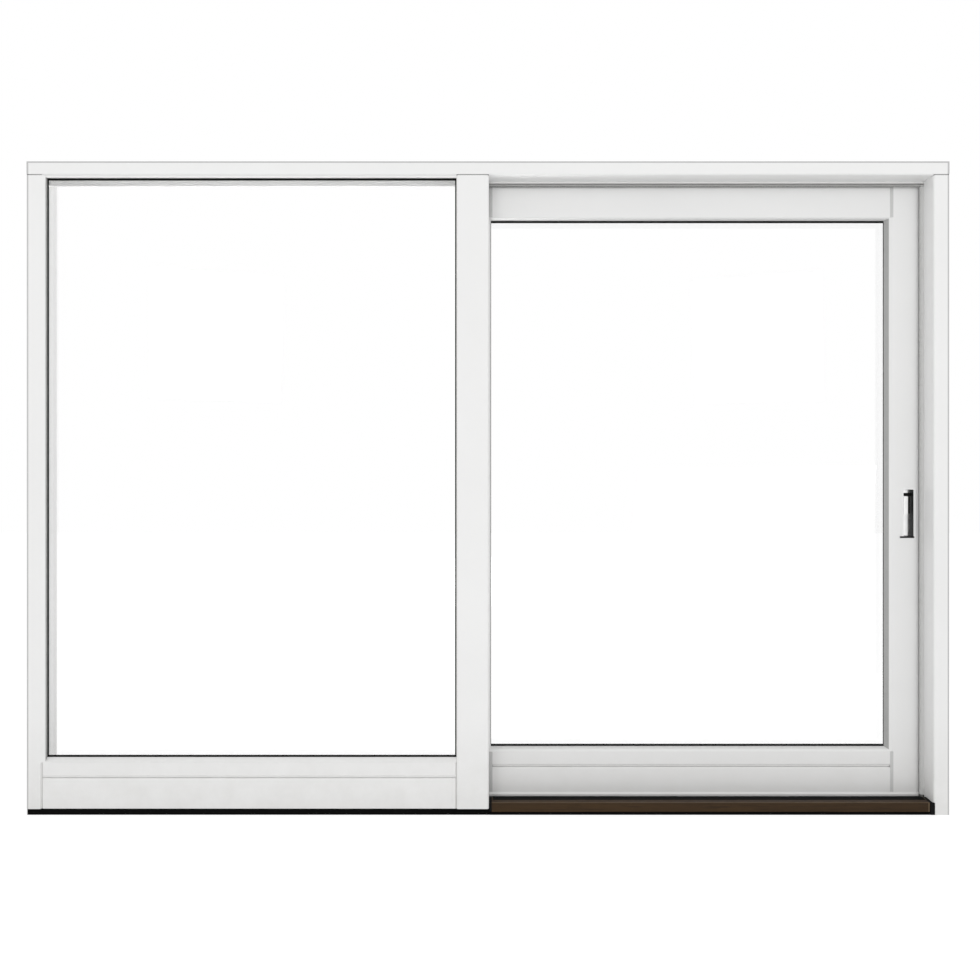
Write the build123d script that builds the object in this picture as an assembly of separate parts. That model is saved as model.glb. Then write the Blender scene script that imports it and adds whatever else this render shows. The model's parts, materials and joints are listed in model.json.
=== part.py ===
from build123d import *
from math import sqrt
import os

# Two-panel sliding door in thermally broken aluminium, seen from outside.
# The left light is glazed straight into the frame. The right one is a sash that
# runs on an inner track and slides left behind the fixed light.
# X runs to the right seen from outside, Y from outside to inside, Z up.
# The origin is on the floor, at the middle of the frame's width and depth.
# "depth" is the distance in from the frame's outside face.

# Overall sizes
overall_width = 2950.0
overall_height = 2090.0

# Faces seen from outside
head_face = 44.0
left_jamb_face = 59.0
right_jamb_face = 50.0
mullion_face = 104.0
mullion_right = 3.0  # right edge of the mullion, from the middle of the door
stile_face = 89.0  # flat face of either stile, up to its bevel
top_rail_face = 100.5
fixed_sight_height = 181.0  # top of the fixed light's bottom bead
sash_sight_height = 193.0  # the same on the sash
bottom_split = 117.0  # joint between bottom rail and bead, fixed light
sash_split = 128.0  # the same joint on the sash

# Extrusions
profile_wall = 2.2
bead_wall = 1.6
corner_radius = 3.0
sight_radius = 7.0  # front edges next to the openings
joint_chamfer = 1.2
joint_play = 1.0  # between a bottom bead and its rail
groove_half_width = 4.0  # V-grooves where two pieces meet end to side
groove_depth = 7.0
cleat = 5.0  # solid metal behind each groove
outer_shell_depth = 66.0
thermal_break_width = 20.0
thermal_break_bar = 3.0
thermal_break_inset = 3.0
inner_head_height = 22.0
inner_jamb_width = 15.0  # left jamb only

# Glazing
lip_depth = 16.0
glazing_cover = 28.0  # how far the pocket reaches behind the lip
gasket_thickness = 4.0
gasket_cover = 10.0
head_lip = 6.0  # hangs in front of the fixed light's gasket
gasket_show = 6.0  # seen above and below the glass
fixed_gasket_side = 4.0  # seen beside it
sash_gasket_side = 1.0
pane_thickness = 6.0
pane_gap = 24.0
pane_edge_play = 6.0
spacer_width = 12.0
seat_play = 0.5
inner_bead_width = 11.0
seat_drop = 28.0  # from the top of a bottom bead down to the glass's seat
bead_slope = 14.0  # height of the slope on the fixed light's bottom bead
undercut_height = 9.5
undercut_depth = 5.0
jamb_shoulder_width = 11.0
jamb_shoulder_depth = 3.0

# Sill, threshold and tracks
sill_height = 19.0
sill_wall = 3.0
sill_front = 16.0  # depth of the sill base's front wall
skirt_front = 2.0
kick_front = 6.0  # board that closes the gap under the doorway's tread
rail_recess = 1.0  # the fixed bottom rail sits this far behind the frame face
tread_front = 4.0
tread_back = 56.0
tread_nose_bottom = 8.0
tread_front_height = 38.5
tread_back_height = 41.5
tread_end_left = 9.0
tread_end_right = 11.0
inner_tread_height = 40.0
inner_tread_width = 24.0
track_foot_width = 24.0
track_foot = 2.5
track_stem = 3.0
track_bead_radius = 4.0
track_height = 44.0
guide_fin = 6.0
guide_drop = 22.0

# Sash
sash_front = 87.0
sash_thickness = 72.0
inner_gap = 7.0  # between the sash and the inner tread
sash_gap_top = 11.0
sash_gap_lock = 9.0
sash_bottom = 35.0
sash_upstand = 22.0  # the sash's top rises this far behind its face, into the head
sash_lip = 18.0  # depth of the sash's glazing lip behind its face
sash_cover = 30.0
bevel_shoulder = 0.45  # share of a bevel's width taken by its shallow outer part
bevel_shoulder_depth = 3.0
stile_bevel = 20.0
top_rail_bevel = 7.0
bottom_bevel = 13.0
sash_behind_mullion = 1.0  # the meeting stile stops this far inside the mullion's edge
open_gap = 5.0  # left between the open sash and its buffer
roller_channel_width = 32.0
roller_channel_height = 60.0
track_notch_height = 20.0  # cut in the stiles' feet, so that they clear the track
guide_groove_width = 18.0
guide_groove_depth = 28.0
drip_height = 12.0
drip_out = 4.0

# Hardware
wheel_radius = 18.0
wheel_width = 12.0
wheel_bore = 5.0
wheel_base = 90.0
wheel_play = 0.3
carriage_length = 150.0
carriage_plate = 3.0
carriage_inset = 190.0
guide_block_length = 60.0
guide_play = 0.3
guide_clearance = 5.0  # under the fin
guide_inset = 20.0
wheel_sink = 2.0  # how far the rollers' rims reach down beside the track's bead
carriage_floor = 6.0  # from the rollers' lowest point up to the carriages' sides
interlock_wall = 2.0
interlock_gap = 5.0
interlock_overlap = 10.0
interlock_reach = 27.0
interlock_foot = 24.0
interlock_end = 25.0
pull_width = 50.0
pull_height = 170.0
pull_height_above_floor = 963.5
pull_from_lock_edge = 35.0
pull_proud = 2.0
pull_border = 6.75
pull_corner = 7.0
least_corner = 2.0
cup_depth = 26.0
cup_wall = 1.6
fit_play = 0.2
insert_thickness = 4.0
insert_top_height = 11.0
insert_slot_height = 11.0
crown_height = 5.0
crown_length = 56.0
handle_from_lock_edge = 48.0
handle_plate_width = 34.0
handle_plate_height = 220.0
handle_plate_thickness = 9.0
grip_length = 150.0
grip_width = 22.0
grip_thickness = 15.0
grip_stand_off = 40.0
grip_radius = 6.0
handle_edge = 2.0
hub_rise = 20.0  # from the middle of the backplate up to the grip's neck
neck_radius = 10.0
lock_plate_width = 22.0
lock_plate_height = 240.0
lock_plate_thickness = 2.5
latch_slot = (56.0, 7.0)
keep_slot = (60.0, 9.0)
strike_thickness = 3.0
buffer_size = 30.0
buffer_length = 30.0
buffer_above_floor = 78.0
seal_width = 10.0
seal_front = 71.0
seal_reach = 11.0
seal_root = 10.0
fixing_radius = 4.0
fixing_heights = (200.0, 750.0, 1300.0, 1850.0)

# Positions that follow from those sizes
frame_depth = sash_front + sash_thickness + inner_gap + inner_tread_width
front = -frame_depth / 2
left = -overall_width / 2
right = overall_width / 2
soffit = overall_height - head_face
left_reveal = left + left_jamb_face
right_reveal = right - right_jamb_face
mullion_left = mullion_right - mullion_face
pocket_top = soffit + glazing_cover
pocket_left = left_reveal - glazing_cover
pocket_mullion = mullion_left + glazing_cover
left_face_edge = left_reveal - jamb_shoulder_width
inner_shell_start = outer_shell_depth + thermal_break_width
inner_soffit = overall_height - inner_head_height
inner_left = left + inner_jamb_width
fixed_seat = fixed_sight_height - seat_drop
fixed_face_edge = fixed_sight_height - bead_slope
unit_thickness = 2 * pane_thickness + pane_gap
glass_front = lip_depth + gasket_thickness
glass_back = glass_front + unit_thickness

sash_back = sash_front + sash_thickness
sash_middle = (sash_front + sash_back) / 2
sash_face_top = soffit - sash_gap_top
sash_top = sash_face_top + sash_upstand
sash_right = right_reveal - sash_gap_lock
sash_left = mullion_left + sash_behind_mullion
lock_edge = sash_right - stile_face
lock_sight = lock_edge - stile_bevel
meeting_edge = sash_left + stile_face
meeting_sight = meeting_edge + stile_bevel
top_edge = sash_face_top - top_rail_face
top_sight = top_edge - top_rail_bevel
bottom_edge = sash_sight_height - bottom_bevel
sash_seat = sash_sight_height - seat_drop
sash_lip_back = sash_front + sash_lip
sash_glass_front = sash_lip_back + gasket_thickness
sash_glass_back = sash_glass_front + unit_thickness
sash_inner_web = (sash_glass_front + sash_glass_back) / 2
lock_pocket = lock_sight + sash_cover
meeting_pocket = meeting_sight - sash_cover
sash_pocket_top = top_sight + sash_cover


def rounded(outline, corners, radius):
    """The outline with the corners nearest the given points rounded."""
    picked = [
        outline.vertices().sort_by_distance(Vector(*corner))[0] for corner in corners
    ]
    return fillet(picked, radius) if picked else outline


def hollow_section(points, corners=(), wall=profile_wall, webs=(), radius=corner_radius):
    """An extrusion's section: its outline, one even wall, and webs across the chamber."""
    return walled(rounded(Polygon(*points, align=None), corners, radius), wall, webs)


def walled(outline, wall, webs=()):
    section = outline - offset(outline, -wall, kind=Kind.INTERSECTION)
    for web in webs:
        section += outline & web
    return section


def solid_section(points, corners=(), radius=corner_radius):
    return rounded(Polygon(*points, align=None), corners, radius)


def upright(section, bottom, top):
    """Extrudes a section drawn in X and depth from one height to another."""
    return extrude(Pos(0, front, bottom) * section, top - bottom, dir=(0, 0, 1))


def crosspiece(section, start, end):
    """Extrudes a section drawn in depth and height from one X to another."""
    plane = Plane(origin=(start, front, 0), x_dir=(0, 1, 0), z_dir=(1, 0, 0))
    return extrude(plane * section, end - start, dir=(1, 0, 0))


def block(x, depth, z):
    """A box from three (low, high) pairs."""
    low = (x[0], front + depth[0], z[0])
    size = (x[1] - x[0], depth[1] - depth[0], z[1] - z[0])
    return Pos(*low) * Box(*size, align=(Align.MIN, Align.MIN, Align.MIN))


def web_upright(x, thickness=profile_wall):
    """A web across a chamber at this X, for a section drawn in X and depth."""
    return Pos(x, frame_depth / 2) * Rectangle(thickness, frame_depth)


def web_at_depth(depth, thickness=profile_wall):
    """A web across a chamber at this depth, for a section drawn in depth and height."""
    return Pos(depth, overall_height / 2) * Rectangle(thickness, 2 * overall_height)


def web_across(depth, thickness=profile_wall):
    """A web across a chamber at this depth, for a section drawn in X and depth."""
    return Pos(0, depth) * Rectangle(2 * overall_width, thickness)


def web_at_height(height, thickness=profile_wall):
    """A web across a chamber at this height, for a section drawn in depth and height."""
    return Pos(frame_depth / 2, height) * Rectangle(2 * frame_depth, thickness)


def ring(outer_x, outer_z, inner_x, inner_z, depth):
    """A rectangular ring standing in the plane of the glass."""
    past = (depth[0] - 1, depth[1] + 1)
    return block(outer_x, depth, outer_z) - block(inner_x, past, inner_z)


def shrunk(span, amount):
    return (span[0] + amount, span[1] - amount)


def joint_groove(x, face_depth, bottom, top):
    """V-groove up the face of the frame or the sash, cut from both pieces that meet there."""
    outside = face_depth - 1
    flare = groove_half_width * (1 + 1 / groove_depth)
    points = [(x - flare, outside), (x + flare, outside), (x, face_depth + groove_depth)]
    return upright(Polygon(*points, align=None), bottom, top)


# Outer frame


def head_outer():
    points = [
        (0, soffit),
        (lip_depth, soffit),
        (lip_depth, pocket_top),
        (outer_shell_depth, pocket_top),
        (outer_shell_depth, overall_height),
        (0, overall_height),
    ]
    outline = rounded(Polygon(*points, align=None), [(0, soffit)], sight_radius)
    outline = rounded(outline, [(0, overall_height)], corner_radius)
    section = walled(outline, profile_wall, [web_at_depth(outer_shell_depth / 2)])
    body = crosspiece(section, left, right)
    # A lip over the fixed light, in front of the gasket
    lip_z = (soffit - head_lip, soffit + profile_wall)
    return body + block((left_reveal, mullion_left), (sight_radius, lip_depth), lip_z)


def head_inner():
    points = [
        (inner_shell_start, inner_soffit),
        (frame_depth, inner_soffit),
        (frame_depth, overall_height),
        (inner_shell_start, overall_height),
    ]
    corners = [(frame_depth, inner_soffit), (frame_depth, overall_height)]
    edges = (sash_middle - track_foot_width / 2, sash_middle + track_foot_width / 2)
    section = hollow_section(points, corners, webs=[web_at_depth(d) for d in edges])
    return crosspiece(section, left, right)


def chamfer_top_front(body, top):
    """Breaks the front edge of an upright's top end, which leaves a fine joint line."""
    edges = body.edges().filter_by(Axis.X).filter_by_position(Axis.Z, top - 0.01, top + 0.01)
    return chamfer(edges.sort_by(Axis.Y)[0], joint_chamfer)


def under_head(section, bottom):
    """A front upright: it rises into the head's pocket, behind the head's lip."""
    body = upright(section, bottom, pocket_top)
    body -= block((left - 1, right + 1), (-1, lip_depth), (soffit, pocket_top + 1))
    return chamfer_top_front(body, soffit)


def fixing_holes(x_low, x_high):
    """Screw holes through a jamb's inner shell, in the sash's plane."""
    length = x_high - x_low + 2
    drills = Part()
    for height in fixing_heights:
        place = Pos((x_low + x_high) / 2, front + sash_middle, height)
        drills += place * Rot(0, 90, 0) * Cylinder(fixing_radius, length)
    return drills


def left_jamb_outer():
    points = [
        (left, 0),
        (left_face_edge, 0),
        (left_reveal, jamb_shoulder_depth),
        (left_reveal, lip_depth),
        (pocket_left, lip_depth),
        (pocket_left, outer_shell_depth),
        (left, outer_shell_depth),
    ]
    webs = [web_across(outer_shell_depth / 2), web_upright(left_face_edge - cleat / 2, cleat)]
    body = under_head(hollow_section(points, [(left, 0)], webs=webs), sill_height)
    # Below the slope of the bottom bead, the bottom rail takes the shoulder's place.
    shoulder = (left_face_edge, left_reveal + 1)
    body -= block(shoulder, (-1, lip_depth), (sill_height - 1, fixed_face_edge))
    body -= joint_groove(left_face_edge, 0, sill_height - 1, fixed_face_edge)
    return body + block((left, left + sill_wall), (corner_radius, outer_shell_depth), (0, sill_height))


def left_jamb_inner():
    points = [
        (left, inner_shell_start),
        (inner_left, inner_shell_start),
        (inner_left, frame_depth),
        (left, frame_depth),
    ]
    corners = [(left, frame_depth), (inner_left, frame_depth)]
    section = hollow_section(points, corners)
    body = upright(section, sill_height, inner_soffit) - fixing_holes(left, inner_left)
    flange_depth = (inner_shell_start, frame_depth - corner_radius)
    return body + block((left, left + sill_wall), flange_depth, (0, sill_height))


def right_jamb_outer():
    points = [
        (right, 0),
        (right_reveal, 0),
        (right_reveal, seal_front),
        (right_reveal + profile_wall, seal_front),
        (right_reveal + profile_wall, outer_shell_depth),
        (right, outer_shell_depth),
    ]
    outline = rounded(Polygon(*points, align=None), [(right_reveal, 0)], sight_radius)
    outline = rounded(outline, [(right, 0)], corner_radius)
    return under_head(walled(outline, profile_wall, [web_across(outer_shell_depth / 2)]), 0)


inner_stop = right_reveal - 27.0  # edge of the leg that covers the closed sash inside
inner_stop_depth = frame_depth - inner_tread_width


def right_jamb_inner():
    points = [
        (right_reveal, inner_shell_start),
        (right, inner_shell_start),
        (right, frame_depth),
        (inner_stop, frame_depth),
        (inner_stop, inner_stop_depth),
        (right_reveal, inner_stop_depth),
    ]
    corners = [(right, frame_depth), (inner_stop, frame_depth), (inner_stop, inner_stop_depth)]
    section = hollow_section(points, corners, webs=[web_upright(right_reveal)])
    body = upright(section, 0, inner_soffit) - fixing_holes(right_reveal, right)
    notch = block(
        (inner_stop - 1, right_reveal),
        (inner_stop_depth - 1, frame_depth + 1),
        (-1, inner_tread_height),
    )
    return body - notch


def thermal_breaks():
    """Polyamide bars that join each outer shell to its inner shell."""
    span = (outer_shell_depth, inner_shell_start)
    low = thermal_break_inset
    high = thermal_break_inset + thermal_break_bar
    bars = [
        block((left, right), span, (pocket_top + low, pocket_top + high)),
        block((left, right), span, (overall_height - high, overall_height - low)),
    ]
    for near, far in ((left, inner_left), (right, right_reveal)):
        inward = 1 if far > near else -1
        bottom = sill_height if near == left else 0
        for base, sense in ((near, inward), (far, -inward)):
            x = sorted((base + sense * low, base + sense * high))
            bars.append(block(x, span, (bottom, inner_soffit)))
    return Compound(bars)


def doorway_head_cover():
    """Closes the head's glazing pocket over the doorway, and carries the seal behind it."""
    points = [
        (lip_depth, soffit),
        (seal_front, soffit),
        (seal_front, pocket_top),
        (lip_depth, pocket_top),
    ]
    return crosspiece(hollow_section(points, wall=bead_wall), mullion_right, right_reveal)


def mullion():
    points = [
        (mullion_left, 0),
        (mullion_right, 0),
        (mullion_right, outer_shell_depth),
        (pocket_mullion, outer_shell_depth),
        (pocket_mullion, lip_depth),
        (mullion_left, lip_depth),
    ]
    corners = [(mullion_left, 0), (mullion_right, 0)]
    middle = (pocket_mullion + mullion_right) / 2
    section = hollow_section(points, corners, webs=[web_upright(middle)], radius=sight_radius)
    return under_head(section, sill_height)


# The two hooks face each other with the same gap in front of, between and behind them.
sash_hook_front = outer_shell_depth + interlock_gap
sash_hook_back = sash_hook_front + interlock_wall
mullion_hook_front = sash_hook_back + interlock_gap
mullion_hook_back = mullion_hook_front + interlock_wall
hooks_middle = (sash_left + meeting_sight) / 2


def mullion_interlock():
    """Hook on the mullion's back that takes the meeting stile's hook when shut."""
    tip = hooks_middle - interlock_overlap / 2
    web = tip + interlock_reach
    points = [
        (tip, mullion_hook_front),
        (web - interlock_wall, mullion_hook_front),
        (web - interlock_wall, outer_shell_depth),
        (web + interlock_foot, outer_shell_depth),
        (web + interlock_foot, outer_shell_depth + interlock_wall),
        (web, outer_shell_depth + interlock_wall),
        (web, mullion_hook_back),
        (tip, mullion_hook_back),
    ]
    bottom = sash_bottom + drip_height + interlock_end
    return upright(solid_section(points), bottom, soffit - interlock_end)


# Fixed light


def plugged(points, corners, ends, wall=profile_wall, webs=()):
    """A crosspiece between two X, with its ends closed over the length of a cleat."""
    hollow = hollow_section(points, corners, wall=wall, webs=webs)
    solid = solid_section(points, corners)
    body = crosspiece(hollow, *ends)
    body += crosspiece(solid, ends[0], ends[0] + cleat)
    return body + crosspiece(solid, ends[1] - cleat, ends[1])


def fixed_bottom_rail():
    """The face in front of the glazing lips, and the box that runs on behind them."""
    ends = (left_face_edge, mullion_left)
    points = [
        (rail_recess, sill_height),
        (lip_depth, sill_height),
        (lip_depth, bottom_split),
        (rail_recess, bottom_split),
    ]
    body = plugged(points, [points[0], points[3]], ends)
    for end in ends:
        body -= joint_groove(end, rail_recess, sill_height - 1, bottom_split + 1)
    points = [
        (lip_depth, sill_height),
        (outer_shell_depth, sill_height),
        (outer_shell_depth, fixed_seat),
        (lip_depth, fixed_seat),
    ]
    section = hollow_section(points, webs=[web_at_height(bottom_split - profile_wall / 2)])
    return body + crosspiece(section, pocket_left, pocket_mullion)


def fixed_bottom_bead():
    """Outside bead: it slopes to the glass above, and is cut under where it meets the rail."""
    low = bottom_split + joint_play
    points = [
        (rail_recess, low + undercut_height),
        (rail_recess + undercut_depth, low),
        (lip_depth, low),
        (lip_depth, fixed_sight_height),
        (rail_recess, fixed_face_edge),
    ]
    body = plugged(points, [], (left_face_edge, mullion_left), wall=bead_wall)
    # The jamb keeps its shoulder beside the slope.
    body -= block((left_face_edge - 1, left_reveal), (0, lip_depth + 1), (fixed_face_edge, soffit))
    for end in (left_face_edge, mullion_left):
        body -= joint_groove(end, rail_recess, low - 1, fixed_face_edge)
    return body


def inner_beads(x, z, width, depth):
    """Four glazing beads inside: two run through, two stand between them."""
    run = shrunk(x, seat_play)
    top_low = z[1] - width
    bottom_high = z[0] + width
    lengthwise = []
    for low, high, inner in ((top_low, z[1], top_low), (z[0], bottom_high, bottom_high)):
        points = [(depth[0], low), (depth[1], low), (depth[1], high), (depth[0], high)]
        section = hollow_section(points, [(depth[1], inner)], wall=bead_wall)
        lengthwise.append(crosspiece(section, *run))
    standing = []
    for low, high, inner in (
        (x[0], x[0] + width, x[0] + width),
        (x[1] - width, x[1], x[1] - width),
    ):
        points = [(low, depth[0]), (high, depth[0]), (high, depth[1]), (low, depth[1])]
        section = hollow_section(points, [(inner, depth[1])], wall=bead_wall)
        standing.append(upright(section, bottom_high + seat_play, top_low - seat_play))
    return Compound(lengthwise + standing)


def fixed_inner_beads():
    return inner_beads(
        (pocket_left, pocket_mullion),
        (fixed_seat, pocket_top),
        inner_bead_width,
        (glass_back, outer_shell_depth),
    )


fixed_pane_x = (pocket_left + pane_edge_play, pocket_mullion - pane_edge_play)
fixed_pane_z = (fixed_seat, pocket_top - pane_edge_play)


def gasket(sight_x, sight_z, side_show, depth):
    """Rubber ring between a glazing lip and the glass, seen past the lip's edge."""
    outer_x = shrunk(sight_x, -gasket_cover)
    outer_z = shrunk(sight_z, -gasket_cover)
    return ring(outer_x, outer_z, shrunk(sight_x, side_show), shrunk(sight_z, gasket_show), depth)


def fixed_gasket():
    sight_x = (left_reveal, mullion_left)
    sight_z = (fixed_sight_height, soffit - head_lip)
    return gasket(sight_x, sight_z, fixed_gasket_side, (lip_depth, glass_front))


# Sill, threshold and tracks


def sill():
    """Sill base on the floor, and what closes its front under the fixed light and the tread."""
    points = [
        (sill_front, 0),
        (frame_depth, 0),
        (frame_depth, sill_height),
        (sill_front, sill_height),
    ]
    depths = (
        tread_back,
        sash_front,
        sash_middle - track_foot_width / 2,
        sash_middle + track_foot_width / 2,
        frame_depth - inner_tread_width,
    )
    webs = [web_at_depth(depth, sill_wall) for depth in depths]
    base = crosspiece(hollow_section(points, wall=sill_wall, webs=webs), left + sill_wall, right_reveal)
    points = [
        (skirt_front, 0),
        (sill_front, 0),
        (sill_front, sill_height),
        (skirt_front, sill_height),
    ]
    skirt = crosspiece(hollow_section(points, wall=sill_wall), left + sill_wall, mullion_right)
    kick = block((mullion_right, right_reveal), (kick_front, sill_front), (0, tread_nose_bottom))
    return Compound([base, skirt, kick])


def tread_points(setback=0.0):
    """The doorway tread: a nosing over the front, falling towards the outside."""
    return [
        (tread_front + setback, tread_nose_bottom + setback),
        (tread_front + setback, tread_front_height - setback),
        (tread_back, tread_back_height - setback),
        (tread_back, sill_height),
        (sill_front, sill_height),
        (sill_front, tread_nose_bottom + setback),
    ]


tread_left = mullion_right + tread_end_left
tread_right = right_reveal - tread_end_right


def threshold_tread():
    points = tread_points()
    section = solid_section(points, [points[0], points[1], points[2]], corner_radius / 2)
    return crosspiece(section, tread_left, tread_right)


def threshold_end_caps():
    """Rubber caps that seal the tread's two ends to the mullion and the jamb."""
    points = tread_points(joint_chamfer)
    return Compound(
        [
            crosspiece(solid_section(points), mullion_right, tread_left),
            crosspiece(solid_section(points), tread_right, right_reveal),
        ]
    )


def inner_tread():
    depth = frame_depth - inner_tread_width
    points = [
        (depth, sill_height),
        (frame_depth, sill_height),
        (frame_depth, inner_tread_height),
        (depth, inner_tread_height),
    ]
    corners = [(frame_depth, inner_tread_height), (depth, inner_tread_height)]
    return crosspiece(solid_section(points, corners), pocket_left, right_reveal)


def running_rail():
    """Track that carries the rollers: a foot, a stem and a round bead on top."""
    stem_top = track_height - track_bead_radius
    foot = Pos(sash_middle, sill_height + track_foot / 2) * Rectangle(track_foot_width, track_foot)
    stem_height = stem_top - sill_height
    stem = Pos(sash_middle, sill_height + stem_height / 2) * Rectangle(track_stem, stem_height)
    bead = Pos(sash_middle, stem_top) * Circle(track_bead_radius)
    return crosspiece(foot + stem + bead, pocket_left, right_reveal)


def head_guide():
    """Fin under the head that keeps the top of the sash on line."""
    foot = Pos(sash_middle, inner_soffit - track_foot / 2) * Rectangle(track_foot_width, track_foot)
    fin = Pos(sash_middle, inner_soffit - guide_drop / 2) * Rectangle(guide_fin, guide_drop)
    section = foot + fin
    tip = [(sash_middle + side * guide_fin / 2, inner_soffit - guide_drop) for side in (-1, 1)]
    section = rounded(section, tip, corner_radius / 2)
    return crosspiece(section, inner_left, right_reveal)


def doorway_seals():
    """Brush strips over and beside the doorway, and the buffer for the open sash."""
    depth = (seal_front, seal_front + seal_width)
    low, high = soffit - seal_reach, soffit + seal_root
    points = [(depth[0], low), (depth[1], low), (depth[1], high), (depth[0], high)]
    over = solid_section(points)
    low, high = right_reveal - seal_reach, right_reveal + thermal_break_inset
    points = [(low, depth[0]), (high, depth[0]), (high, depth[1]), (low, depth[1])]
    beside = solid_section(points)
    buffer_plan = RectangleRounded(buffer_size, buffer_size, corner_radius)
    buffer_plan = Pos(front + sash_middle, buffer_above_floor) * buffer_plan
    buffer_plane = Plane(origin=(inner_left, 0, 0), x_dir=(0, 1, 0), z_dir=(1, 0, 0))
    return Compound(
        [
            crosspiece(over, mullion_right, right_reveal),
            upright(beside, tread_back_height + joint_play, soffit - seal_reach),
            extrude(buffer_plane * buffer_plan, buffer_length),
        ]
    )


def strike_plate():
    """Keep for the lock, screwed to the reveal of the right jamb."""
    plan = Pos(front + sash_middle, pull_height_above_floor) * RectangleRounded(
        lock_plate_width, lock_plate_height, corner_radius
    )
    slot = Pos(front + sash_middle, pull_height_above_floor) * SlotOverall(*keep_slot, rotation=90)
    plane = Plane(origin=(right_reveal, 0, 0), x_dir=(0, 1, 0), z_dir=(1, 0, 0))
    return extrude(plane * (plan - slot), -strike_thickness)


# Sash


def front_prism(points, near, far):
    """Extrudes an outline drawn in X and height from one depth to another."""
    return front_extrude(Polygon(*points, align=None), near, far)


def cut_stile_ends(body):
    """Lets a stile run over the track below and the guide fin above."""
    whole = (sash_left - 1, sash_right + 1)
    body -= block(whole, (sash_front - 1, sash_lip_back), (sash_face_top, sash_top + 1))
    half = roller_channel_width / 2
    notch_z = (sash_bottom - 1, sash_bottom + track_notch_height)
    body -= block(whole, (sash_middle - half, sash_middle + half), notch_z)
    half = guide_groove_width / 2
    groove_z = (sash_top - guide_groove_depth, sash_top + 1)
    return body - block(whole, (sash_middle - half, sash_middle + half), groove_z)


def stile_section(side, edge, sight, pocket):
    """Section of a stile, from its free side to its bevel and the pocket for the glass."""
    shoulder = edge + bevel_shoulder * (sight - edge)
    points = [
        (side, sash_front),
        (edge, sash_front),
        (shoulder, sash_front + bevel_shoulder_depth),
        (sight, sash_lip_back),
        (pocket, sash_lip_back),
        (pocket, sash_back),
        (side, sash_back),
    ]
    inward = 1 if side < edge else -1
    backing = web_upright(edge - inward * cleat / 2, cleat)
    webs = [web_across(sash_inner_web), backing & web_across(sash_front + sash_lip / 2, sash_lip)]
    return hollow_section(points, [points[0], points[6]], webs=webs)


def stile(side, edge, sight, pocket):
    """A stile whose bevel stops at a mitre, where each rail's face takes its place."""
    body = cut_stile_ends(upright(stile_section(side, edge, sight, pocket), sash_bottom, sash_top))
    past = sight + (sight - edge) / stile_bevel
    for corner_sight, corner_edge, end in (
        (top_sight, top_edge, sash_top + 1),
        (sash_sight_height, bottom_edge, sash_bottom - 1),
    ):
        outline = [(past, corner_sight), (sight, corner_sight), (edge, corner_edge)]
        outline += [(edge, end), (past, end)]
        body -= front_prism(outline, sash_front - 1, sash_lip_back)
    body -= joint_groove(edge, sash_front, top_edge, sash_top)
    return body - joint_groove(edge, sash_front, sash_bottom - 1, bottom_edge)


def mitre_offcuts(sight_z, edge_z):
    """What comes off the two ends of a rail's bevel, so that it meets the stiles' bevels."""
    past = sight_z + (1 if sight_z > edge_z else -1)
    offcuts = Part()
    for sight, edge in ((meeting_sight, meeting_edge), (lock_sight, lock_edge)):
        outline = [(sight, sight_z), (edge, edge_z), (edge, past), (sight, past)]
        offcuts += front_prism(outline, sash_front - 1, sash_lip_back)
    return offcuts


def sash_rail_face(points, corners, groove_z, wall=profile_wall):
    """The part of a rail or bead that lies between the stiles' faces."""
    body = plugged(points, corners, (meeting_edge, lock_edge), wall=wall)
    for edge in (meeting_edge, lock_edge):
        body -= joint_groove(edge, sash_front, *groove_z)
    return body


def lock_stile():
    body = stile(sash_right, lock_edge, lock_sight, lock_pocket)
    cup = pull_outline(cup_width, cup_height)
    opening = front_extrude(cup, sash_front - 1, sash_front + profile_wall + 1)
    lock_depth = sash_middle - lock_plate_width / 2, sash_middle + lock_plate_width / 2
    half = lock_plate_height / 2
    plate_z = (pull_height_above_floor - half, pull_height_above_floor + half)
    return body - opening - block((sash_right - lock_plate_thickness, sash_right + 1), lock_depth, plate_z)


def meeting_stile():
    return stile(sash_left, meeting_edge, meeting_sight, meeting_pocket)


def sash_top_rail():
    """Grooved along its top for the guides; its face stops short in front of an upstand."""
    groove = (sash_middle - guide_groove_width / 2, sash_middle + guide_groove_width / 2)
    groove_floor = sash_top - guide_groove_depth
    face = [
        (sash_front, sash_face_top),
        (sash_front, top_edge),
        (sash_front + bevel_shoulder_depth, top_edge - bevel_shoulder * top_rail_bevel),
        (sash_lip_back, top_sight),
        (sash_lip_back, sash_face_top),
    ]
    body = sash_rail_face(face, face[:1], (top_edge, sash_top))
    body -= mitre_offcuts(top_sight, top_edge)
    box = [
        (sash_lip_back, sash_pocket_top),
        (sash_back, sash_pocket_top),
        (sash_back, sash_top),
        (groove[1], sash_top),
        (groove[1], groove_floor),
        (groove[0], groove_floor),
        (groove[0], sash_top),
        (sash_lip_back, sash_top),
    ]
    return body + crosspiece(hollow_section(box, [box[2]]), meeting_pocket, lock_pocket)


def sash_bottom_rail():
    """Face and box in one extrusion, with a channel underneath for the roller carriages."""
    channel = (sash_middle - roller_channel_width / 2, sash_middle + roller_channel_width / 2)
    channel_top = sash_bottom + roller_channel_height
    face = [
        (sash_front, sash_bottom),
        (sash_front, sash_split),
        (sash_lip_back, sash_split),
        (sash_lip_back, sash_bottom),
    ]
    body = sash_rail_face(face, face[:2], (sash_bottom - 1, sash_split + 1))
    box = [
        (sash_lip_back, sash_bottom),
        (sash_lip_back, sash_seat),
        (sash_back, sash_seat),
        (sash_back, sash_bottom),
        (channel[1], sash_bottom),
        (channel[1], channel_top),
        (channel[0], channel_top),
        (channel[0], sash_bottom),
    ]
    return body + crosspiece(hollow_section(box, [box[3]]), meeting_pocket, lock_pocket)


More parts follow.
